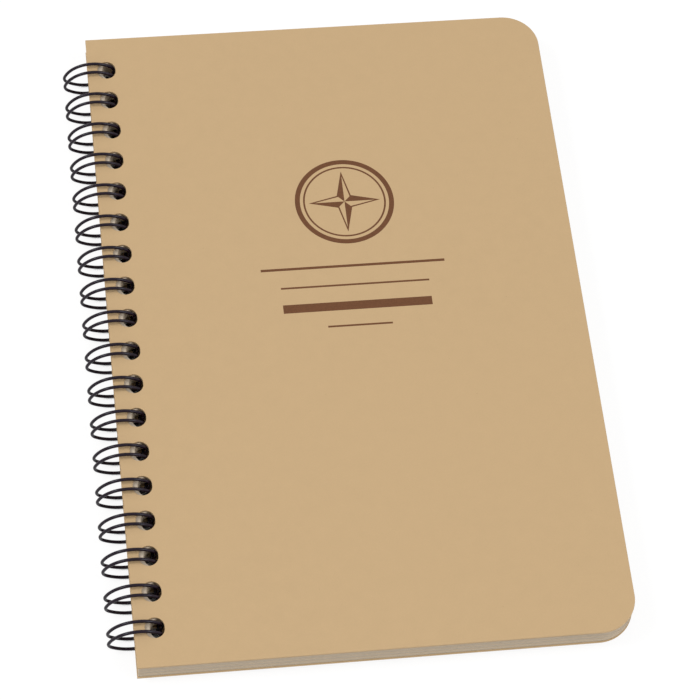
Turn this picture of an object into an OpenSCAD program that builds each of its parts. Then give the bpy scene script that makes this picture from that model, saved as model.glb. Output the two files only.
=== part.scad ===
// Pocket notebook bound along its left side with a twin-loop wire, lying closed on its back cover.
// X runs from the wire edge to the fore edge, Y from the foot of the page to its head, Z up.
// The origin is under the middle of the closed notebook, level with the underside of the loops.

/* [Covers] */
// Width of a cover, from the wire edge to the fore edge
cover_w = 117.5; // [90:0.5:160]
// Height of a cover, from foot to head
cover_h = 177.8; // [174:0.1:230]
// Thickness of a cover
cover_t = 0.55; // [0.3:0.05:1]
// Radius of the two corners on the fore edge
corner_r = 9; // [2:0.5:15]
// Play between each cover and the sheets
cover_gap = 0.05; // [0.05:0.05:0.3]

/* [Sheets] */
// Thickness of the closed block of sheets
sheets_t = 4.7; // [3.5:0.1:6.5]
// How far the sheets stand back from the covers at the wire edge
wire_edge_setback = 0.15; // [0.05:0.05:0.8]
// How far the sheets stand back from the covers on the other three edges
setback = 0.1; // [0:0.05:1]

/* [Holes] */
// Number of holes, and of loops
hole_count = 18; // [6:1:18]
// Distance from one hole to the next
hole_pitch = 9.3; // [8:0.1:9.6]
// Width of a hole, which is round at its two ends
hole_w = 4.6; // [4.6:0.1:5.1]
// Length of a hole along the wire edge
hole_l = 5.2; // [5.2:0.1:5.6]
// From a cover's wire edge to the centres of its holes
cover_hole_x = 4.8; // [4.6:0.1:5]
// How much further from the wire edge the holes in the sheets are
sheet_hole_shift = 1.2; // [0.8:0.1:1.4]

/* [Wire] */
// Diameter of the wire with its coating
wire_d = 0.8; // [0.6:0.05:0.9]
// Between the centre lines of the two wires of one loop
twin_gap = 2.6; // [2.2:0.1:2.8]
// Long way across a loop, on the wire's centre line
loop_w = 13.1; // [12.6:0.1:13.6]
// How much taller than the closed notebook a loop is, on the wire's centre line
loop_slack = 2.9; // [2.6:0.1:3.4]
// Radius of the tight bend at each end of a loop
loop_end_r = 2.1; // [1.8:0.1:2.5]
// Lean of the loops, which lowers their outer side
loop_tilt = 16; // [13:0.5:18]
// From the centres of the covers' holes back to the middle of the loops
loop_setback = 4.45; // [4.2:0.05:4.7]
// How far the wire's centre line rises over the front cover
loop_rise = 1.26; // [0.9:0.02:1.5]
// Radius of the bend from a loop into the straight bridge to the next loop
bridge_bend_r = 1; // [0.8:0.1:1.2]
// Height over the sheets' back face at which the loops turn into their bridges
bridge_lift = 0.1; // [0:0.05:0.3]
// Room around the bridges in the dent that they press into the last sheets
dent_clearance = 0.2; // [0.1:0.05:0.5]

/* [Hidden] */
$fn = 48;

// Neighbouring stretches of the wire overlap by this much, and differ by this much in diameter
wire_lap = 0.02;
wire_step = 0.004;

// A loop is an oval of four arcs: two tight ends, and two flat arcs that are tangent to them
stack_t = sheets_t + 2 * (cover_t + cover_gap);
loop_h = stack_t + loop_slack;
end_x = loop_w / 2 - loop_end_r;
flat_r = (end_x ^ 2 + (loop_h / 2) ^ 2 - loop_end_r ^ 2) / (loop_h - 2 * loop_end_r);
flat_drop = flat_r - loop_h / 2;
join_angle = atan2(flat_drop, end_x);

// Half the loop's height and its reach to the left, once it leans
half_rise = flat_r - flat_drop * cos(loop_tilt);
half_reach = end_x * cos(loop_tilt) + loop_end_r;

// Where the edges and faces lie
loop_x_from_edge = cover_hole_x - loop_setback;
overhang = half_reach + wire_d / 2 - loop_x_from_edge;
edge_x = (overhang - cover_w) / 2;
foot_y = -cover_h / 2;
loop_x = edge_x + loop_x_from_edge;
loop_z = half_rise + wire_d / 2;
front_face_z = loop_z + half_rise - loop_rise;
sheets_z = front_face_z - cover_t - cover_gap - sheets_t;
back_face_z = front_face_z - stack_t;
first_hole_y = -(hole_count - 1) * hole_pitch / 2;

// The loops turn into their bridges here, just inside the back of the sheets
turn_z = sheets_z + bridge_lift;
turn_angle = loop_tilt + asin((loop_z + flat_drop * cos(loop_tilt) - turn_z) / flat_r);
turn_x = flat_r * cos(turn_angle);
turn_y = flat_drop - flat_r * sin(turn_angle);
bridge_x = loop_x - flat_drop * sin(loop_tilt) + flat_r * cos(turn_angle - loop_tilt)
    + bridge_bend_r * sin(turn_angle - loop_tilt);
bridge_z = turn_z + bridge_bend_r * cos(turn_angle - loop_tilt);
bridge_l = hole_pitch - twin_gap - 2 * bridge_bend_r;

// The four arcs of a loop: centre, radius, first and last angle, and whether it is a slim one
loop_arcs = [
    [[end_x, 0], loop_end_r, -join_angle, join_angle, true],
    [[0, -flat_drop], flat_r, join_angle, 180 - join_angle, false],
    [[-end_x, 0], loop_end_r, 180 - join_angle, 180 + join_angle, true],
    [[0, flat_drop], flat_r, 180 + join_angle, 360 - turn_angle, false]
];

// One sheet or cover with square corners at the wire edge and round ones at the fore edge
module leaf_outline(left, inset) {
    r = corner_r - inset;
    right = cover_w - inset;
    low = inset;
    high = cover_h - inset;
    translate([left, low]) square([right - r - left, high - low]);
    translate([right - r, low + r]) square([r, high - low - 2 * r]);
    for (y = [low + r, high - r]) translate([right - r, y]) circle(r);
}

// The row of punched holes, each of them a short slot
module hole_row(x) {
    half_straight = (hole_l - hole_w) / 2;
    for (i = [0 : hole_count - 1]) translate([x, first_hole_y - foot_y + i * hole_pitch]) {
        for (y = [-half_straight, half_straight]) translate([0, y]) circle(d = hole_w);
        square([hole_w, 2 * half_straight], center = true);
    }
}

module cover(z) {
    translate([edge_x, foot_y, z]) linear_extrude(cover_t) difference() {
        leaf_outline(0, 0);
        hole_row(cover_hole_x);
    }
}

module front_cover() {
    color([0.80, 0.68, 0.52]) cover(front_face_z - cover_t);
}

module back_cover() {
    color([0.80, 0.68, 0.52]) cover(back_face_z);
}

// The closed sheets are one block. The bridges of the wire press a dent into the last ones.
module page_block() {
    dent_r = bridge_z - sheets_z + wire_d / 2 + dent_clearance;
    color([0.82, 0.75, 0.66]) difference() {
        translate([edge_x, foot_y, sheets_z]) linear_extrude(sheets_t) difference() {
            leaf_outline(wire_edge_setback, setback);
            hole_row(cover_hole_x + sheet_hole_shift);
        }
        translate([bridge_x, first_hole_y, sheets_z]) rotate([-90, 0, 0])
            cylinder(r = dent_r, h = (hole_count - 1) * hole_pitch);
    }
}

// A bent stretch of wire. A slim one is a hair thinner and reaches into its neighbours at both ends.
module bent_wire(r, from, to, slim) {
    lap = slim ? wire_lap / r * 180 / PI : 0;
    rotate_extrude(angle = to - from + 2 * lap, start = from - lap)
        translate([r, 0]) circle(d = wire_d - (slim ? wire_step : 0));
}

// The rounded tip that joins the two wires of a loop
module loop_tip() {
    translate([end_x + loop_end_r * cos(join_angle), -loop_end_r * sin(join_angle), 0])
        rotate([0, 0, -join_angle]) rotate([0, 90, 0]) bent_wire(twin_gap / 2, 180, 360, false);
}

// The bend from the end of one wire of a loop out towards the neighbouring loop
module bridge_bend(side) {
    translate([turn_x, turn_y, side * (twin_gap / 2 + bridge_bend_r)])
        rotate([0, 0, -turn_angle]) rotate([0, 90, 0])
            bent_wire(bridge_bend_r, side > 0 ? 0 : 90, side > 0 ? 90 : 180, true);
}

// The straight bridge to the next loop
module bridge() {
    translate([
        turn_x + bridge_bend_r * sin(turn_angle),
        turn_y + bridge_bend_r * cos(turn_angle),
        -twin_gap / 2 - bridge_bend_r - bridge_l
    ]) cylinder(d = wire_d, h = bridge_l);
}

// One continuous wire, drawn with a loop's plane in X and Y and the row of loops along -Z
module binding_wire() {
    color([0.10, 0.10, 0.12])
        translate([loop_x, first_hole_y, loop_z]) rotate([0, -loop_tilt, 0]) rotate([90, 0, 0])
            for (i = [0 : hole_count - 1], piece = [0 : 11]) translate([0, 0, -i * hole_pitch]) {
                if (piece < 8) {
                    a = loop_arcs[piece % 4];
                    translate([a[0].x, a[0].y, (piece < 4 ? 0.5 : -0.5) * twin_gap])
                        bent_wire(a[1], a[2], a[3], a[4]);
                } else if (piece == 8) {
                    loop_tip();
                } else if (piece == 9 && i > 0) {
                    bridge_bend(1);
                } else if (piece == 10 && i < hole_count - 1) {
                    bridge_bend(-1);
                } else if (piece == 11 && i < hole_count - 1) {
                    bridge();
                }
            }
}

front_cover();
page_block();
back_cover();
binding_wire();
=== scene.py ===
import math

import bmesh
import bpy
from mathutils import Matrix, Vector
from mathutils.geometry import tessellate_polygon


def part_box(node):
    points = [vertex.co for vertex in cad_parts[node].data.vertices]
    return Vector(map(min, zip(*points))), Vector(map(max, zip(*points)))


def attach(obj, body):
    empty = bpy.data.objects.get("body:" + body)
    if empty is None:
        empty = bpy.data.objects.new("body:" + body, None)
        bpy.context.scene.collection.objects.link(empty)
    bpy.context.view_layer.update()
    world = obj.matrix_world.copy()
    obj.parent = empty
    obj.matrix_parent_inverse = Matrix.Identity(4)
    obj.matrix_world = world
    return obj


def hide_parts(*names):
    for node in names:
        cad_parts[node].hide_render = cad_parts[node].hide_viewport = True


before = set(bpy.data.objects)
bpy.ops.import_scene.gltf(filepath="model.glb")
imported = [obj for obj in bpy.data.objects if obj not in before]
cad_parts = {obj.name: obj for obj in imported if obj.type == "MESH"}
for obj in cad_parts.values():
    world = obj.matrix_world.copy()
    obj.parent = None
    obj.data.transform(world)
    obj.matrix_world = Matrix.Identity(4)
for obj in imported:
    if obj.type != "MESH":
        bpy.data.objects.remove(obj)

bl_info = {
    "name": "Wire-bound notebook",
    "version": (1, 0, 0),
    "blender": (4, 5, 0),
    "location": "3D View > Sidebar > Notebook",
    "description": "Dresses a pocket notebook: covers, printed label, sheets and twin-loop wire",
    "category": "Object",
}

# The closed notebook's own faces and edges, in metres
FRONT_LOW, FRONT_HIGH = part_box("front_cover")
BACK_LOW, BACK_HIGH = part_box("back_cover")
SHEETS_LOW, SHEETS_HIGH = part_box("page_block")
WIRE_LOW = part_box("binding_wire")[0]
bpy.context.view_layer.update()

# How finely the round parts are drawn
CORNER_STEPS = 20
COVER_HOLE_STEPS = 20
SHEET_HOLE_STEPS = 14
JOINED_HOLE_STEPS = 6
EDGE_STEPS = 3
LOOP_END_STEPS = 14
LOOP_BACK_STEPS = 26
LOOP_FRONT_STEPS = 30
BEND_STEPS = 8
RING_STEPS = 96

# The label's two rings, inner and outer, as shares of its radius
LABEL_RINGS = ((0.90, 1.0), (0.80, 0.835))
# Reach of the compass star, its waist and the width of its lines, as shares of the label's radius
STAR_REACH = 0.72
STAR_WAIST = 0.20
STAR_LINE = 0.035
# The rules under the rings: how far below the label's middle, and their width and height, in metres
LABEL_RULES = (
    (0.0190, 0.0460, 0.0007),
    (0.0245, 0.0370, 0.0005),
    (0.0305, 0.0370, 0.0024),
    (0.0362, 0.0160, 0.0005),
)


class NotebookCovers(bpy.types.PropertyGroup):
    """Sizes and tones of the two covers."""

    corner_radius: bpy.props.FloatProperty(
        name="Corner radius",
        description="Radius of the two corners on the fore edge",
        default=0.009,
        unit="LENGTH",
    )
    edge_round: bpy.props.FloatProperty(
        name="Edge rounding",
        description="Radius of the rounding along the cut edges and punched holes",
        default=0.00009,
        unit="LENGTH",
    )
    hole_inset: bpy.props.FloatProperty(
        name="Hole inset",
        description="From the wire edge to the centres of the holes",
        default=0.0048,
        unit="LENGTH",
    )
    hole_width: bpy.props.FloatProperty(
        name="Hole width",
        description="Width of a punched hole, which is round at its two ends",
        default=0.0046,
        unit="LENGTH",
    )
    hole_length: bpy.props.FloatProperty(
        name="Hole length",
        description="Length of a punched hole along the wire edge",
        default=0.0052,
        unit="LENGTH",
    )
    tone: bpy.props.FloatVectorProperty(
        name="Tan",
        description="Main colour of the sheet the covers are cut from",
        default=(0.580, 0.401, 0.2145),
        subtype="COLOR",
    )
    grain_depth: bpy.props.FloatProperty(
        name="Grain depth",
        description="Height of the fine matte grain",
        default=0.000012,
        unit="LENGTH",
        precision=6,
    )


class NotebookSheets(bpy.types.PropertyGroup):
    """Sizes and tone of the stack of sheets."""

    count: bpy.props.IntProperty(
        name="Sheets",
        description="Number of sheets in the stack",
        default=32,
        min=4,
        max=60,
    )
    over_closure: bpy.props.IntProperty(
        name="Sheets over the closure",
        description="Number of sheets at the back that make room for the wire's bridges",
        default=10,
        min=0,
        max=20,
    )
    closure_inset: bpy.props.FloatProperty(
        name="Closure inset",
        description="From the wire edge to the line of the wire's bridges",
        default=0.00583,
        unit="LENGTH",
        precision=5,
    )
    closure_width: bpy.props.FloatProperty(
        name="Closure width",
        description="Width of the room for the wire's bridges",
        default=0.0028,
        unit="LENGTH",
    )
    hole_inset: bpy.props.FloatProperty(
        name="Hole inset",
        description="From the covers' wire edge to the centres of the sheets' holes",
        default=0.006,
        unit="LENGTH",
    )
    stray: bpy.props.FloatProperty(
        name="Stray",
        description="How far a sheet may lie out of line with the others",
        default=0.00009,
        unit="LENGTH",
        precision=5,
    )
    air: bpy.props.FloatProperty(
        name="Air",
        description="Share of the stack's height that is air between the sheets",
        default=0.18,
        min=0.0,
        max=0.6,
    )
    tone: bpy.props.FloatVectorProperty(
        name="Paper",
        description="Main colour of the paper",
        default=(0.70, 0.595, 0.46),
        subtype="COLOR",
    )
    seed: bpy.props.IntProperty(
        name="Seed",
        description="Fixes the way the sheets lie",
        default=7,
    )


class NotebookWire(bpy.types.PropertyGroup):
    """Sizes of the twin-loop wire, all of them on its centre line."""

    loops: bpy.props.IntProperty(
        name="Loops",
        description="Number of loops",
        default=18,
        min=2,
    )
    pitch: bpy.props.FloatProperty(
        name="Pitch",
        description="From one loop to the next",
        default=0.0093,
        unit="LENGTH",
    )
    diameter: bpy.props.FloatProperty(
        name="Wire diameter",
        description="Diameter of the wire with its coating",
        default=0.0008,
        unit="LENGTH",
    )
    twin_gap: bpy.props.FloatProperty(
        name="Twin gap",
        description="Between the two wires of one loop",
        default=0.0026,
        unit="LENGTH",
    )
    loop_width: bpy.props.FloatProperty(
        name="Loop width",
        description="Long way across a loop",
        default=0.0131,
        unit="LENGTH",
    )
    loop_height: bpy.props.FloatProperty(
        name="Loop height",
        description="Short way across a loop",
        default=0.0088,
        unit="LENGTH",
    )
    end_radius: bpy.props.FloatProperty(
        name="End radius",
        description="Radius of the tight bend at each end of a loop",
        default=0.0021,
        unit="LENGTH",
    )
    tilt: bpy.props.FloatProperty(
        name="Tilt",
        description="Lean of the loops",
        default=math.radians(16.0),
        subtype="ANGLE",
    )
    middle_inset: bpy.props.FloatProperty(
        name="Middle inset",
        description="From the covers' wire edge to the middle of the loops",
        default=0.00035,
        unit="LENGTH",
        precision=5,
    )
    turn_lift: bpy.props.FloatProperty(
        name="Turn lift",
        description="Height over the back of the sheets at which the loops turn into bridges",
        default=0.0001,
        unit="LENGTH",
        precision=5,
    )
    bend_radius: bpy.props.FloatProperty(
        name="Bend radius",
        description="Radius of the bend from a loop into a bridge",
        default=0.001,
        unit="LENGTH",
    )
    sides: bpy.props.IntProperty(
        name="Sides",
        description="Number of flats round the wire",
        default=14,
        min=6,
        max=24,
    )
    tone: bpy.props.FloatVectorProperty(
        name="Coating",
        description="Colour of the wire's coating",
        default=(0.015, 0.0065, 0.0125),
        subtype="COLOR",
    )


class NotebookPrint(bpy.types.PropertyGroup):
    """Sizes and place of the plain printed label on the front cover."""

    middle_x: bpy.props.FloatProperty(
        name="Middle, across",
        description="Middle of the label across the page, from the covers' wire edge",
        default=0.0615,
        unit="LENGTH",
    )
    ring_y: bpy.props.FloatProperty(
        name="Ring, up",
        description="Middle of the ring up the page, from the foot",
        default=0.1235,
        unit="LENGTH",
    )
    ring_radius: bpy.props.FloatProperty(
        name="Ring radius",
        description="Outer radius of the ring",
        default=0.0125,
        unit="LENGTH",
    )
    ink: bpy.props.FloatProperty(
        name="Ink thickness",
        description="How far the ink stands on the cover",
        default=0.00002,
        unit="LENGTH",
        precision=5,
    )
    tone: bpy.props.FloatVectorProperty(
        name="Ink",
        description="Colour of the ink",
        default=(0.135, 0.052, 0.019),
        subtype="COLOR",
    )


class NotebookStage(bpy.types.PropertyGroup):
    """Camera, lamps and floor."""

    aim: bpy.props.FloatVectorProperty(
        name="Aim",
        description="Point in the middle of the picture",
        default=(0.002562, -0.008570, 0.00816),
        subtype="TRANSLATION",
    )
    distance: bpy.props.FloatProperty(
        name="Distance",
        description="From the camera to the aim",
        default=0.74155,
        unit="LENGTH",
    )
    azimuth: bpy.props.FloatProperty(
        name="Azimuth",
        description="How far the camera stands round from the foot of the page",
        default=math.radians(12.02),
        subtype="ANGLE",
    )
    elevation: bpy.props.FloatProperty(
        name="Elevation",
        description="Height of the camera over the floor",
        default=math.radians(59.417),
        subtype="ANGLE",
    )
    roll: bpy.props.FloatProperty(
        name="Roll",
        description="Turn of the picture about the line of sight",
        default=math.radians(-6.577),
        subtype="ANGLE",
    )
    lens: bpy.props.FloatProperty(
        name="Lens",
        description="Focal length on a 36 mm sensor",
        default=156.05,
        unit="CAMERA",
    )
    sky: bpy.props.FloatProperty(
        name="Sky",
        description="Strength of the even light from all round",
        default=0.45,
    )
    left_place: bpy.props.FloatVectorProperty(
        name="Left lamp's place",
        description="Middle of the lamp on the side of the wire",
        default=(-1.36, 0.08, 1.47),
        subtype="TRANSLATION",
    )
    left_size: bpy.props.FloatProperty(
        name="Left lamp's size",
        description="Side of the square lamp on the side of the wire",
        default=0.7,
        unit="LENGTH",
    )
    left_power: bpy.props.FloatProperty(
        name="Left lamp",
        description="Power of the lamp on the side of the wire",
        default=16.8,
        unit="POWER",
    )
    right_place: bpy.props.FloatVectorProperty(
        name="Right lamp's place",
        description="Middle of the lamp on the side of the fore edge",
        default=(1.18, -0.68, 1.52),
        subtype="TRANSLATION",
    )
    right_size: bpy.props.FloatProperty(
        name="Right lamp's size",
        description="Side of the square lamp on the side of the fore edge",
        default=0.9,
        unit="LENGTH",
    )
    right_power: bpy.props.FloatProperty(
        name="Right lamp",
        description="Power of the lamp on the side of the fore edge",
        default=13.9,
        unit="POWER",
    )
    floor_glow: bpy.props.FloatProperty(
        name="Floor glow",
        description="How much of the floor's white doesn't depend on the light",
        default=0.88,
    )


def add_object(name, mesh):
    """Puts a finished mesh into the scene, at the origin."""
    piece = bpy.data.objects.new(name, mesh)
    bpy.context.scene.collection.objects.link(piece)
    return piece


def arc(centre_x, centre_y, radius, first, last, steps):
    """Points on an arc, with both ends. The angles are in degrees."""
    angles = [math.radians(first + (last - first) * i / steps) for i in range(steps + 1)]
    return [(centre_x + radius * math.cos(a), centre_y + radius * math.sin(a)) for a in angles]


def leaf_outline(low, high, inset, corner_radius):
    """Outline of a sheet or cover: square corners at the wire edge, round ones at the fore edge."""
    radius = corner_radius - inset
    left, right = low.x + inset, high.x - inset
    foot, head = low.y + inset, high.y - inset
    points = [(left, head), (left, foot)]
    points += arc(right - radius, foot + radius, radius, -90, 0, CORNER_STEPS)
    points += arc(right - radius, head - radius, radius, 0, 90, CORNER_STEPS)
    return points


def hole_centres():
    """Heights of the holes up the page."""
    wire = bpy.context.scene.notebook_wire
    return [(i - (wire.loops - 1) / 2) * wire.pitch for i in range(wire.loops)]


def hole_outlines(x, spread, steps):
    """Outlines of the row of holes: short slots, each side moved out by the spread."""
    covers = bpy.context.scene.notebook_covers
    radius = covers.hole_width / 2 + spread
    half_straight = (covers.hole_length - covers.hole_width) / 2
    return [
        arc(x, y + half_straight, radius, 180, 0, steps) + arc(x, y - half_straight, radius, 0, -180, steps)
        for y in hole_centres()
    ]


def joined_holes_outline(x, spread, slot_x, slot_width):
    """Outline of the row of holes where the room for the wire's bridges joins them."""
    covers = bpy.context.scene.notebook_covers
    radius = covers.hole_width / 2 + spread
    half_straight = (covers.hole_length - covers.hole_width) / 2
    right_angle = math.degrees(math.acos((slot_x + slot_width / 2 - x) / radius))
    left_angle = math.degrees(math.acos((slot_x - slot_width / 2 - x) / radius))
    ys = hole_centres()
    steps = JOINED_HOLE_STEPS
    points = []
    # Down the right side of the row
    for y in reversed(ys):
        from_angle = 90 if y == ys[-1] else right_angle
        to_angle = -90 if y == ys[0] else -right_angle
        points += arc(x, y + half_straight, radius, from_angle, 0, steps)
        points += arc(x, y - half_straight, radius, 0, to_angle, steps)
    # And back up its left side
    points.pop()
    for y in ys:
        from_angle = 270 if y == ys[0] else 360 - left_angle
        to_angle = 90 if y == ys[-1] else left_angle
        points += arc(x, y - half_straight, radius, from_angle, 180, steps)
        points += arc(x, y + half_straight, radius, 180, to_angle, steps)
    points.pop()
    return points


def close_between(bm, rows):
    """Joins rows of like outlines by walls, and closes the first and the last row with flat faces."""
    for below, above in zip(rows, rows[1:]):
        for ring, ring_above in zip(below, above):
            for i in range(len(ring)):
                bm.faces.new((ring[i - 1], ring[i], ring_above[i], ring_above[i - 1]))
    for row in (rows[0], rows[-1]):
        corners = [v for ring in row for v in ring]
        for triangle in tessellate_polygon([[v.co for v in ring] for ring in row]):
            bm.faces.new([corners[i] for i in triangle])


def plate(name, outlines_at, low, high, rounding):
    """A flat plate with holes and rounded edges, from a function that gives its outlines at an inset."""
    levels = []
    for i in range(EDGE_STEPS + 1):
        a = math.pi / 2 * i / EDGE_STEPS
        levels.append((rounding * (1 - math.sin(a)), low + rounding * (1 - math.cos(a))))
    levels += [(inset, low + high - z) for inset, z in reversed(levels)]
    bm = bmesh.new()
    rows = []
    for inset, z in levels:
        rows.append([[bm.verts.new((x, y, z)) for x, y in ring] for ring in outlines_at(inset)])
    close_between(bm, rows)
    bmesh.ops.recalc_face_normals(bm, faces=bm.faces)
    mesh = bpy.data.meshes.new(name)
    bm.to_mesh(mesh)
    bm.free()
    smooth(mesh, degrees=10)
    return mesh


def smooth(mesh, degrees):
    """Shades a mesh smooth, but keeps the edges sharper than this angle."""
    mesh.polygons.foreach_set("use_smooth", [True] * len(mesh.polygons))
    mesh.set_sharp_from_angle(angle=math.radians(degrees))


class NodeMaker:
    """Adds nodes to a tree and links them."""

    def __init__(self, tree):
        self.tree = tree
        self.tree.nodes.clear()

    def add(self, kind, inputs=None, **values):
        node = self.tree.nodes.new(kind)
        for key, value in values.items():
            setattr(node, key, value)
        for key, value in (inputs or {}).items():
            if isinstance(value, bpy.types.NodeSocket):
                self.tree.links.new(value, node.inputs[key])
            else:
                node.inputs[key].default_value = value
        return node

    def math(self, operation, first, second=0.0, clamp=False):
        inputs = {0: first, 1: second}
        return self.add("ShaderNodeMath", inputs, operation=operation, use_clamp=clamp).outputs[0]

    def mix(self, factor, first, second, blend="MIX"):
        """Mixes two colours. The typed sockets of a Mix node share their names, so they go by place."""
        inputs = {0: factor, 6: first, 7: second}
        return self.add("ShaderNodeMix", inputs, data_type="RGBA", blend_type=blend).outputs[2]

    def noise(self, place, scale, detail, roughness=0.5):
        inputs = {"Vector": place, "Scale": scale, "Detail": detail, "Roughness": roughness}
        return self.add("ShaderNodeTexNoise", inputs).outputs["Fac"]

    def spread(self, factor, low, high):
        """Spreads the middle part of a noise over the values from low to high."""
        inputs = {"Value": factor, "From Min": 0.3, "From Max": 0.7, "To Min": low, "To Max": high}
        return self.add("ShaderNodeMapRange", inputs).outputs["Result"]

    def bump(self, height, strength, depth):
        inputs = {"Height": height, "Strength": strength, "Distance": depth}
        return self.add("ShaderNodeBump", inputs).outputs["Normal"]

    def ramp(self, factor, *stops):
        node = self.add("ShaderNodeValToRGB", {"Fac": factor})
        elements = node.color_ramp.elements
        while len(elements) < len(stops):
            elements.new(0.5)
        for element, (place, colour) in zip(elements, stops):
            element.position = place
            element.color = (*colour, 1.0)
        return node.outputs["Color"]


def new_material(name):
    """A material with its node maker, its Principled shader and its object coordinates."""
    material = bpy.data.materials.new(name)
    material.use_nodes = True
    maker = NodeMaker(material.node_tree)
    shader = maker.add("ShaderNodeBsdfPrincipled")
    maker.add("ShaderNodeOutputMaterial", {"Surface": shader.outputs["BSDF"]})
    place = maker.add("ShaderNodeTexCoord").outputs["Object"]
    return material, maker, shader, place


def shade(tone, factor):
    """A tone made lighter or darker."""
    return tuple(channel * factor for channel in tone)


def cover_material(covers):
    """Matte tan sheet with a fine grain, faint clouds and a few specks."""
    material, maker, shader, place = new_material("tan_cover_sheet")
    clouds = maker.noise(place, 260.0, 4.0, 0.65)
    drift = maker.noise(place, 14.0, 2.0)
    grain = maker.noise(place, 3200.0, 3.0, 0.7)
    specks = maker.add("ShaderNodeTexVoronoi", {"Vector": place, "Scale": 190.0}).outputs["Distance"]
    tone = tuple(covers.tone)
    clouded = maker.ramp(clouds, (0.30, shade(tone, 0.972)), (0.70, shade(tone, 1.028)))
    drifted = maker.mix(drift, clouded, (*shade(tone, 1.02), 1.0))
    grained = maker.ramp(grain, (0.35, (0.965, 0.965, 0.965)), (0.65, (1.0, 1.0, 1.0)))
    with_grain = maker.mix(1.0, drifted, grained, "MULTIPLY")
    speck_mask = maker.ramp(specks, (0.018, (0.90, 0.88, 0.86)), (0.034, (1.0, 1.0, 1.0)))
    maker.tree.links.new(maker.mix(1.0, with_grain, speck_mask, "MULTIPLY"), shader.inputs["Base Color"])
    maker.tree.links.new(maker.spread(grain, 0.52, 0.64), shader.inputs["Roughness"])
    maker.tree.links.new(maker.bump(grain, 0.35, covers.grain_depth), shader.inputs["Normal"])
    shader.inputs["Specular IOR Level"].default_value = 0.35
    return material


def paper_material(sheets):
    """Uncoated paper. Each sheet has its own faint tint and the stack has soft bands along its edges."""
    material, maker, shader, place = new_material("paper")
    fibre = maker.noise(place, 1500.0, 4.0, 0.7)
    flattened = maker.add("ShaderNodeVectorMath", {0: place, 1: (3.0, 3.0, 900.0)}, operation="MULTIPLY")
    bands = maker.noise(flattened.outputs["Vector"], 1.0, 2.0)
    tint = maker.add("ShaderNodeAttribute", attribute_name="sheet_tint")
    tone = tuple(sheets.tone)
    warm = (tone[0] * 1.04, tone[1] * 1.0, tone[2] * 0.93)
    cool = (tone[0] * 0.86, tone[1] * 0.87, tone[2] * 0.90)
    tinted = maker.ramp(tint.outputs["Fac"], (0.0, cool), (0.45, tone), (1.0, warm))
    mottled = maker.ramp(fibre, (0.3, (0.96, 0.96, 0.96)), (0.7, (1.0, 1.0, 1.0)))
    banded = maker.ramp(bands, (0.35, (0.88, 0.87, 0.87)), (0.65, (1.0, 1.0, 1.0)))
    with_bands = maker.mix(1.0, tinted, banded, "MULTIPLY")
    maker.tree.links.new(maker.mix(1.0, with_bands, mottled, "MULTIPLY"), shader.inputs["Base Color"])
    maker.tree.links.new(maker.bump(fibre, 0.15, 0.00002), shader.inputs["Normal"])
    shader.inputs["Roughness"].default_value = 0.85
    shader.inputs["Specular IOR Level"].default_value = 0.2
    return material


def wire_material(wire):
    """Black nylon coating over the wire, half glossy, with a slightly uneven skin."""
    material, maker, shader, place = new_material("black_coated_wire")
    skin = maker.noise(place, 900.0, 3.0)
    tone = tuple(wire.tone)
    toned = maker.ramp(skin, (0.3, shade(tone, 0.8)), (0.7, shade(tone, 1.25)))
    maker.tree.links.new(toned, shader.inputs["Base Color"])
    maker.tree.links.new(maker.spread(skin, 0.12, 0.18), shader.inputs["Roughness"])
    maker.tree.links.new(maker.bump(skin, 0.3, 0.00002), shader.inputs["Normal"])
    shader.inputs["Specular IOR Level"].default_value = 0.2
    shader.inputs["Specular Tint"].default_value = (0.80, 0.90, 1.0, 1.0)
    return material


def ink_material(label):
    """Matte brown ink, a little thin where the cover's grain stands up."""
    material, maker, shader, place = new_material("brown_ink")
    grain = maker.noise(place, 2600.0, 3.0)
    tone = tuple(label.tone)
    toned = maker.ramp(grain, (0.35, shade(tone, 0.94)), (0.68, shade(tone, 1.16)))
    maker.tree.links.new(toned, shader.inputs["Base Color"])
    shader.inputs["Roughness"].default_value = 0.62
    shader.inputs["Specular IOR Level"].default_value = 0.3
    return material


def new_geometry_tree(name, inputs):
    """A Geometry Nodes tree with named inputs: its maker, its input sockets and their identifiers."""
    tree = bpy.data.node_groups.new(name, "GeometryNodeTree")
    tree.interface.new_socket(name="Geometry", in_out="INPUT", socket_type="NodeSocketGeometry")
    identifiers = {}
    for label, kind in inputs:
        socket = tree.interface.new_socket(name=label, in_out="INPUT", socket_type=kind)
        identifiers[label] = socket.identifier
    tree.interface.new_socket(name="Geometry", in_out="OUTPUT", socket_type="NodeSocketGeometry")
    maker = NodeMaker(tree)
    return maker, maker.add("NodeGroupInput").outputs, identifiers


def grown_mesh(name, path_mesh, maker, identifiers, values):
    """Runs a tree on a mesh of edges and returns the plain mesh that it makes."""
    carrier = add_object(name + "_outline", path_mesh)
    modifier = carrier.modifiers.new(name, "NODES")
    modifier.node_group = maker.tree
    for label, value in values.items():
        modifier[identifiers[label]] = value
    evaluated = carrier.evaluated_get(bpy.context.evaluated_depsgraph_get())
    mesh = bpy.data.meshes.new_from_object(evaluated)
    carrier.modifiers.clear()
    bpy.data.objects.remove(carrier)
    mesh.name = name
    return mesh


def edge_mesh(name, lines, closed):
    """A mesh that holds only lines of edges."""
    points, edges = [], []
    for line in lines:
        first = len(points)
        points += line
        edges += [(first + i, first + i + 1) for i in range(len(line) - 1)]
        if closed:
            edges.append((first + len(line) - 1, first))
    mesh = bpy.data.meshes.new(name)
    mesh.from_pydata(points, edges, [])
    return mesh


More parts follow.
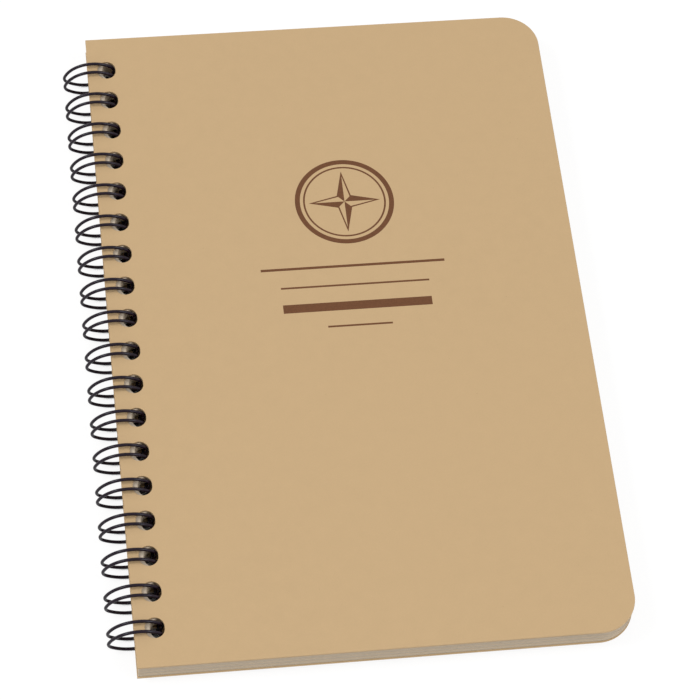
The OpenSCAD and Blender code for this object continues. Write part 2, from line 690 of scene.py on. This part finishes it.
def sheet_stack_tree(material):
    """Fills the outline of one sheet, gives it its thickness and lays copies of it on each other."""
    maker, given, identifiers = new_geometry_tree(
        "sheet_stack",
        [
            ("Count", "NodeSocketInt"),
            ("Lowest", "NodeSocketFloat"),
            ("Step", "NodeSocketFloat"),
            ("Thickness", "NodeSocketFloat"),
            ("Stray", "NodeSocketFloat"),
            ("Seed", "NodeSocketInt"),
        ],
    )
    outline = maker.add("GeometryNodeMeshToCurve", {"Mesh": given["Geometry"]})
    face = maker.add("GeometryNodeFillCurve", {"Curve": outline.outputs["Curve"]})
    raised = maker.add(
        "GeometryNodeExtrudeMesh",
        {"Mesh": face.outputs["Mesh"], "Offset Scale": given["Thickness"], "Individual": False},
    )
    underside = maker.add("GeometryNodeFlipFaces", {"Mesh": face.outputs["Mesh"]})
    both = maker.add("GeometryNodeJoinGeometry")
    maker.tree.links.new(raised.outputs["Mesh"], both.inputs["Geometry"])
    maker.tree.links.new(underside.outputs["Mesh"], both.inputs["Geometry"])
    weld = {"Geometry": both.outputs["Geometry"], "Distance": 1e-7}
    sheet = maker.add("GeometryNodeMergeByDistance", weld)
    step = maker.add("ShaderNodeCombineXYZ", {"Z": given["Step"]})
    start = maker.add("ShaderNodeCombineXYZ", {"Z": given["Lowest"]})
    places = maker.add(
        "GeometryNodeMeshLine",
        {
            "Count": given["Count"],
            "Start Location": start.outputs["Vector"],
            "Offset": step.outputs["Vector"],
        },
    )
    back = maker.math("MULTIPLY", given["Stray"], -1.0)
    most = maker.add("ShaderNodeCombineXYZ", {"X": given["Stray"], "Y": given["Stray"]})
    least = maker.add("ShaderNodeCombineXYZ", {"X": back, "Y": back})
    shift = maker.add("FunctionNodeRandomValue", {"Seed": given["Seed"]}, data_type="FLOAT_VECTOR")
    maker.tree.links.new(least.outputs["Vector"], shift.inputs[0])
    maker.tree.links.new(most.outputs["Vector"], shift.inputs[1])
    strayed = maker.add(
        "GeometryNodeSetPosition", {"Geometry": places.outputs["Mesh"], "Offset": shift.outputs[0]}
    )
    laid = maker.add(
        "GeometryNodeInstanceOnPoints",
        {"Points": strayed.outputs["Geometry"], "Instance": sheet.outputs["Geometry"]},
    )
    tint = maker.add("FunctionNodeRandomValue", {"Seed": given["Seed"]}, data_type="FLOAT")
    tinted = maker.add(
        "GeometryNodeStoreNamedAttribute",
        {"Geometry": laid.outputs["Instances"], "Name": "sheet_tint"},
        data_type="FLOAT",
        domain="INSTANCE",
    )
    value_socket = [s for s in tinted.inputs if s.name == "Value" and s.enabled][0]
    tint_output = [s for s in tint.outputs if s.enabled][0]
    maker.tree.links.new(tint_output, value_socket)
    real = maker.add("GeometryNodeRealizeInstances", {"Geometry": tinted.outputs["Geometry"]})
    dressed = {"Geometry": real.outputs["Geometry"], "Material": material}
    finished = maker.add("GeometryNodeSetMaterial", dressed)
    maker.add("NodeGroupOutput", {"Geometry": finished.outputs["Geometry"]})
    return maker, identifiers


def wire_tree(material):
    """Repeats the path of one loop along the binding, joins the copies and runs a round wire along them."""
    maker, given, identifiers = new_geometry_tree(
        "twin_loop_wire",
        [
            ("Loops", "NodeSocketInt"),
            ("Pitch", "NodeSocketFloat"),
            ("Radius", "NodeSocketFloat"),
            ("Sides", "NodeSocketInt"),
            ("End Cut", "NodeSocketFloat"),
        ],
    )
    step = maker.add("ShaderNodeCombineXYZ", {"Y": given["Pitch"]})
    places = maker.add("GeometryNodeMeshLine", {"Count": given["Loops"], "Offset": step.outputs["Vector"]})
    repeated = maker.add(
        "GeometryNodeInstanceOnPoints",
        {"Points": places.outputs["Mesh"], "Instance": given["Geometry"]},
    )
    real = maker.add("GeometryNodeRealizeInstances", {"Geometry": repeated.outputs["Instances"]})
    weld = {"Geometry": real.outputs["Geometry"], "Distance": 1e-6}
    joined = maker.add("GeometryNodeMergeByDistance", weld)
    path = maker.add("GeometryNodeMeshToCurve", {"Mesh": joined.outputs["Geometry"]})
    length = maker.add("GeometryNodeCurveLength", {"Curve": path.outputs["Curve"]})
    last = maker.math("SUBTRACT", length.outputs["Length"], given["End Cut"])
    cut = maker.add("GeometryNodeTrimCurve", {"Curve": path.outputs["Curve"]}, mode="LENGTH")
    start_socket, end_socket = [s for s in cut.inputs if s.name in ("Start", "End") and s.enabled]
    maker.tree.links.new(given["End Cut"], start_socket)
    maker.tree.links.new(last, end_socket)
    section = maker.add(
        "GeometryNodeCurvePrimitiveCircle", {"Resolution": given["Sides"], "Radius": given["Radius"]}
    )
    tube = maker.add(
        "GeometryNodeCurveToMesh",
        {"Curve": cut.outputs["Curve"], "Profile Curve": section.outputs["Curve"], "Fill Caps": True},
    )
    dressed = {"Geometry": tube.outputs["Mesh"], "Material": material}
    finished = maker.add("GeometryNodeSetMaterial", dressed)
    maker.add("NodeGroupOutput", {"Geometry": finished.outputs["Geometry"]})
    return maker, identifiers


def loop_path(wire):
    """Centre line of one loop with its two bends and half bridges, and the length of one such end."""
    end_r = wire.end_radius
    end_x = wire.loop_width / 2 - end_r
    half_height = wire.loop_height / 2
    flat_r = (end_x ** 2 + half_height ** 2 - end_r ** 2) / (wire.loop_height - 2 * end_r)
    drop = flat_r - half_height
    join = math.degrees(math.atan2(drop, end_x))
    lean = wire.tilt
    middle_z = flat_r - drop * math.cos(lean) + wire.diameter / 2
    turn_z = SHEETS_LOW.z + wire.turn_lift
    turn = lean + math.asin((middle_z + drop * math.cos(lean) - turn_z) / flat_r)
    side = wire.twin_gap / 2
    bend = wire.bend_radius
    quarter = [math.pi / 2 * i / BEND_STEPS for i in range(BEND_STEPS + 1)]

    # One strand of the loop, from its bridge round the back and over the cover to the tip
    strand = arc(0, drop, flat_r, 360 - math.degrees(turn), 180 + join, LOOP_BACK_STEPS)
    strand += arc(-end_x, 0, end_r, 180 + join, 180 - join, LOOP_END_STEPS)[1:]
    strand += arc(0, -drop, flat_r, 180 - join, join, LOOP_FRONT_STEPS)[1:]
    strand += arc(end_x, 0, end_r, join, -join, LOOP_END_STEPS)[1:]

    # Half a bridge and the bend that leads from it into the strand
    turn_x, turn_y = strand[0]
    out_x, out_y = math.sin(turn), math.cos(turn)
    half_loop = [(turn_x + bend * out_x, -wire.pitch / 2, turn_y + bend * out_y)]
    for a in quarter:
        reach = bend * math.cos(a)
        along = -side - bend + bend * math.sin(a)
        half_loop.append((turn_x + reach * out_x, along, turn_y + reach * out_y))
    half_loop += [(x, -side, z) for x, z in strand[1:]]

    # Half the rounded tip, then the same again mirrored
    tip_x, tip_y = strand[-1]
    down_x, down_y = -math.sin(math.radians(join)), -math.cos(math.radians(join))
    for a in quarter[1:]:
        reach = side * math.sin(a)
        half_loop.append((tip_x + reach * down_x, -side * math.cos(a), tip_y + reach * down_y))
    whole = half_loop + [(x, -y, z) for x, y, z in reversed(half_loop[:-1])]

    place = Matrix.Translation((FRONT_LOW.x + wire.middle_inset, hole_centres()[0], middle_z))
    leaned = place @ Matrix.Rotation(-lean, 4, "Y")
    points = [leaned @ Vector(p) for p in whole]
    end_cut = sum((points[i + 1] - points[i]).length for i in range(len(quarter)))
    return points, end_cut


class NOTEBOOK_OT_covers(bpy.types.Operator):
    """Makes the front and back covers."""

    bl_idname = "notebook.covers"
    bl_label = "Covers"

    def execute(self, context):
        covers = context.scene.notebook_covers
        material = cover_material(covers)
        # Each cover's node has the name of the body that it turns with
        for cover, low, high in (
            ("front_cover", FRONT_LOW, FRONT_HIGH),
            ("back_cover", BACK_LOW, BACK_HIGH),
        ):
            def outlines_at(inset):
                outer = leaf_outline(low, high, inset, covers.corner_radius)
                return [outer] + hole_outlines(low.x + covers.hole_inset, inset, COVER_HOLE_STEPS)

            mesh = plate(cover + "_sheet", outlines_at, low.z, high.z, covers.edge_round)
            mesh.materials.append(material)
            piece = add_object(cover + "_sheet", mesh)
            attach(piece, cover)
            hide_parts(cover)
        return {"FINISHED"}


class NOTEBOOK_OT_sheets(bpy.types.Operator):
    """Makes the stack of punched sheets."""

    bl_idname = "notebook.sheets"
    bl_label = "Sheets"

    def execute(self, context):
        covers = context.scene.notebook_covers
        sheets = context.scene.notebook_sheets
        stray = sheets.stray
        # The outline is drawn smaller by the stray, so that no sheet lies outside the solid block
        corner_radius = covers.corner_radius - (FRONT_HIGH.x - SHEETS_HIGH.x)
        outer = leaf_outline(SHEETS_LOW, SHEETS_HIGH, stray, corner_radius)
        hole_x = FRONT_LOW.x + sheets.hole_inset
        holes = hole_outlines(hole_x, stray, SHEET_HOLE_STEPS)
        slot_x = FRONT_LOW.x + sheets.closure_inset
        slot = joined_holes_outline(hole_x, stray, slot_x, sheets.closure_width)
        step = (SHEETS_HIGH.z - SHEETS_LOW.z) / sheets.count
        thickness = step * (1 - sheets.air)
        material = paper_material(sheets)
        maker, identifiers = sheet_stack_tree(material)
        stack = bmesh.new()
        for first, count, inner in (
            (0, sheets.over_closure, [slot]),
            (sheets.over_closure, sheets.count - sheets.over_closure, holes),
        ):
            lines = [[(x, y, 0) for x, y in line] for line in [outer] + inner]
            part = grown_mesh(
                "sheets",
                edge_mesh("sheet_outline", lines, True),
                maker,
                identifiers,
                {
                    "Count": count,
                    "Lowest": SHEETS_LOW.z + first * step + (step - thickness) / 2,
                    "Step": step,
                    "Thickness": thickness,
                    "Stray": stray,
                    "Seed": sheets.seed + first,
                },
            )
            stack.from_mesh(part)
        mesh = bpy.data.meshes.new("sheets")
        stack.to_mesh(mesh)
        stack.free()
        mesh.materials.append(material)
        smooth(mesh, degrees=20)
        piece = add_object("sheets", mesh)
        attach(piece, "book")
        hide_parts("page_block")
        return {"FINISHED"}


class NOTEBOOK_OT_wire(bpy.types.Operator):
    """Makes the twin-loop wire."""

    bl_idname = "notebook.wire"
    bl_label = "Wire"

    def execute(self, context):
        wire = context.scene.notebook_wire
        points, end_cut = loop_path(wire)
        material = wire_material(wire)
        maker, identifiers = wire_tree(material)
        mesh = grown_mesh(
            "twin_loop_wire",
            edge_mesh("loop_path", [points], False),
            maker,
            identifiers,
            {
                "Loops": wire.loops,
                "Pitch": wire.pitch,
                "Radius": wire.diameter / 2,
                "Sides": wire.sides,
                "End Cut": end_cut,
            },
        )
        smooth(mesh, degrees=50)
        piece = add_object("twin_loop_wire", mesh)
        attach(piece, "book")
        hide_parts("binding_wire")
        return {"FINISHED"}


def circle(radius):
    """Points on a circle around the origin."""
    return arc(0, 0, radius, 0, 360 - 360 / RING_STEPS, RING_STEPS - 1)


def band(inner, outer):
    """Two outlines of a ring between two radii."""
    return [circle(outer), circle(inner)]


def around(radius, degrees):
    """The point at this radius and angle around the origin."""
    return (radius * math.cos(math.radians(degrees)), radius * math.sin(math.radians(degrees)))


def star_point(radius, waist, line, angle):
    """Outlines of one point of a compass star: its left half filled, its right half an open line."""
    tip, left, right = around(radius, angle), around(waist, angle + 45), around(waist, angle - 45)
    inner_tip = around(radius - line * 3, angle)
    inner_right = around(waist - line, angle - 45)
    return [[[(0.0, 0.0), tip, left]], [[inner_tip, tip, right, inner_right]]]


def bar(y, width, height):
    """The outline of a printed rule, centred across the label."""
    return [
        (-width / 2, y - height / 2),
        (width / 2, y - height / 2),
        (width / 2, y + height / 2),
        (-width / 2, y + height / 2),
    ]


class NOTEBOOK_OT_print(bpy.types.Operator):
    """Prints a plain label on the front cover: a ring with a compass star, over ruled lines."""

    bl_idname = "notebook.print"
    bl_label = "Print"

    def execute(self, context):
        label = context.scene.notebook_print
        x0 = FRONT_LOW.x + label.middle_x
        y0 = FRONT_LOW.y + label.ring_y
        r = label.ring_radius
        shapes = [band(r * inner, r * outer) for inner, outer in LABEL_RINGS]
        for quarter in range(4):
            shapes += star_point(r * STAR_REACH, r * STAR_WAIST, r * STAR_LINE, 90 * quarter)
        shapes += [[bar(-below, width, height)] for below, width, height in LABEL_RULES]
        bm = bmesh.new()
        # The ink reaches a hair into the sheet, so that no gap shows under it
        for outlines in shapes:
            rows = []
            for z in (FRONT_HIGH.z - label.ink / 2, FRONT_HIGH.z + label.ink):
                rows.append([[bm.verts.new((x0 + x, y0 + y, z)) for x, y in ring] for ring in outlines])
            close_between(bm, rows)
        bmesh.ops.recalc_face_normals(bm, faces=bm.faces)
        mesh = bpy.data.meshes.new("cover_print")
        bm.to_mesh(mesh)
        bm.free()
        mesh.materials.append(ink_material(label))
        piece = add_object("cover_print", mesh)
        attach(piece, "front_cover")
        return {"FINISHED"}


def area_lamp(name, place, size, power):
    """A square soft lamp that points at the notebook."""
    lamp = bpy.data.lights.new(name, "AREA")
    lamp.shape = "SQUARE"
    lamp.size = size
    lamp.energy = power
    holder = bpy.data.objects.new(name, lamp)
    holder.location = place
    holder.rotation_euler = (-Vector(place)).to_track_quat("-Z", "Y").to_euler()
    bpy.context.scene.collection.objects.link(holder)


def seen_directly(maker):
    """One for what the camera, gloss or glass shows, nought for the light that falls on things."""
    path = maker.add("ShaderNodeLightPath").outputs
    seen = maker.math("ADD", path["Is Camera Ray"], path["Is Glossy Ray"])
    return maker.math("ADD", seen, path["Is Transmission Ray"], clamp=True)


def open_floor(maker):
    """One on the open floor, falling to nought where the notebook covers it closely, so that the floor's
    glow fades there: painted shade under the notebook.
    """
    reach = 0.012
    covered = 0.12
    clear = 0.25
    around = maker.add("ShaderNodeAmbientOcclusion", {"Distance": reach}, samples=24).outputs["AO"]
    fade = {"Value": around, "From Min": covered, "From Max": clear}
    return maker.add("ShaderNodeMapRange", fade).outputs["Result"]


def floor_material(stage):
    """White to the camera with a faint shadow, partly real and partly painted shade where the glow fades
    under the notebook, and an even pale grey to the light.
    """
    material, maker, shader, _ = new_material("pale_floor")
    seen = seen_directly(maker)
    under_light = (0.90, 0.90, 0.90, 1.0)
    under_glow = (0.16, 0.16, 0.16, 1.0)
    # The glow fades where the notebook closely covers the floor, which paints shade on the floor under it.
    glow = maker.math("MULTIPLY", maker.math("MULTIPLY", seen, open_floor(maker)), stage.floor_glow)
    maker.tree.links.new(maker.mix(seen, under_light, under_glow), shader.inputs["Base Color"])
    maker.tree.links.new(glow, shader.inputs["Emission Strength"])
    shader.inputs["Emission Color"].default_value = (1.0, 1.0, 1.0, 1.0)
    shader.inputs["Roughness"].default_value = 0.9
    shader.inputs["Specular IOR Level"].default_value = 0.0
    return material


def point_camera(holder, stage):
    """Stands the camera off its aim and turns it about the line of sight."""
    level = math.cos(stage.elevation)
    sight = Vector(
        (
            level * math.sin(stage.azimuth),
            level * math.cos(stage.azimuth),
            -math.sin(stage.elevation),
        )
    )
    across = Matrix.Rotation(stage.roll, 3, sight) @ sight.cross(Vector((0, 0, 1))).normalized()
    turned = Matrix((across, across.cross(sight), -sight)).transposed().to_4x4()
    holder.matrix_world = Matrix.Translation(Vector(stage.aim) - sight * stage.distance) @ turned


class NOTEBOOK_OT_stage(bpy.types.Operator):
    """Sets up the camera, the soft lamps, the white surroundings and the floor."""

    bl_idname = "notebook.stage"
    bl_label = "Stage"

    def execute(self, context):
        stage = context.scene.notebook_stage
        scene = context.scene
        scene.view_settings.view_transform = "Standard"

        camera = bpy.data.cameras.new("camera")
        camera.lens = stage.lens
        camera.sensor_width = 36.0
        camera.clip_start = 0.05
        camera.clip_end = 20.0
        holder = bpy.data.objects.new("camera", camera)
        point_camera(holder, stage)
        scene.collection.objects.link(holder)
        scene.camera = holder

        world = bpy.data.worlds.new("studio")
        scene.world = world
        world.use_nodes = True
        maker = NodeMaker(world.node_tree)
        levels = {"Value": seen_directly(maker), "To Min": stage.sky, "To Max": 1.0}
        strength = maker.add("ShaderNodeMapRange", levels).outputs["Result"]
        light = {"Color": (1.0, 1.0, 1.0, 1.0), "Strength": strength}
        sky = maker.add("ShaderNodeBackground", light).outputs["Background"]
        maker.add("ShaderNodeOutputWorld", {"Surface": sky})

        area_lamp("left_lamp", stage.left_place, stage.left_size, stage.left_power)
        area_lamp("right_lamp", stage.right_place, stage.right_size, stage.right_power)

        # The floor lies a hair under the loops
        reach = 3.0
        hair = 0.00002
        z = WIRE_LOW.z - hair
        corners = [(-reach, -reach, z), (reach, -reach, z), (reach, reach, z), (-reach, reach, z)]
        mesh = bpy.data.meshes.new("floor")
        mesh.from_pydata(corners, [], [(0, 1, 2, 3)])
        mesh.materials.append(floor_material(stage))
        add_object("floor", mesh)
        return {"FINISHED"}


class NOTEBOOK_PT_sidebar(bpy.types.Panel):
    """Lists the notebook's sizes and the buttons that make its pieces."""

    bl_idname = "NOTEBOOK_PT_sidebar"
    bl_label = "Notebook"
    bl_space_type = "VIEW_3D"
    bl_region_type = "UI"
    bl_category = "Notebook"

    def draw(self, context):
        for group, operator in (
            (context.scene.notebook_covers, NOTEBOOK_OT_covers),
            (context.scene.notebook_sheets, NOTEBOOK_OT_sheets),
            (context.scene.notebook_wire, NOTEBOOK_OT_wire),
            (context.scene.notebook_print, NOTEBOOK_OT_print),
            (context.scene.notebook_stage, NOTEBOOK_OT_stage),
        ):
            box = self.layout.box()
            for key in group.__annotations__:
                box.prop(group, key)
            box.operator(operator.bl_idname)


GROUPS = {
    "notebook_covers": NotebookCovers,
    "notebook_sheets": NotebookSheets,
    "notebook_wire": NotebookWire,
    "notebook_print": NotebookPrint,
    "notebook_stage": NotebookStage,
}
OPERATORS = (
    NOTEBOOK_OT_covers,
    NOTEBOOK_OT_sheets,
    NOTEBOOK_OT_wire,
    NOTEBOOK_OT_print,
    NOTEBOOK_OT_stage,
)


def register():
    for name, group in GROUPS.items():
        bpy.utils.register_class(group)
        setattr(bpy.types.Scene, name, bpy.props.PointerProperty(type=group))
    for kind in (*OPERATORS, NOTEBOOK_PT_sidebar):
        bpy.utils.register_class(kind)


def unregister():
    for kind in reversed((*OPERATORS, NOTEBOOK_PT_sidebar)):
        bpy.utils.unregister_class(kind)
    for name, group in GROUPS.items():
        delattr(bpy.types.Scene, name)
        bpy.utils.unregister_class(group)


def main():
    register()
    bpy.ops.notebook.stage()
    bpy.ops.notebook.covers()
    bpy.ops.notebook.sheets()
    bpy.ops.notebook.wire()
    bpy.ops.notebook.print()


if __name__ == "__main__":
    main()
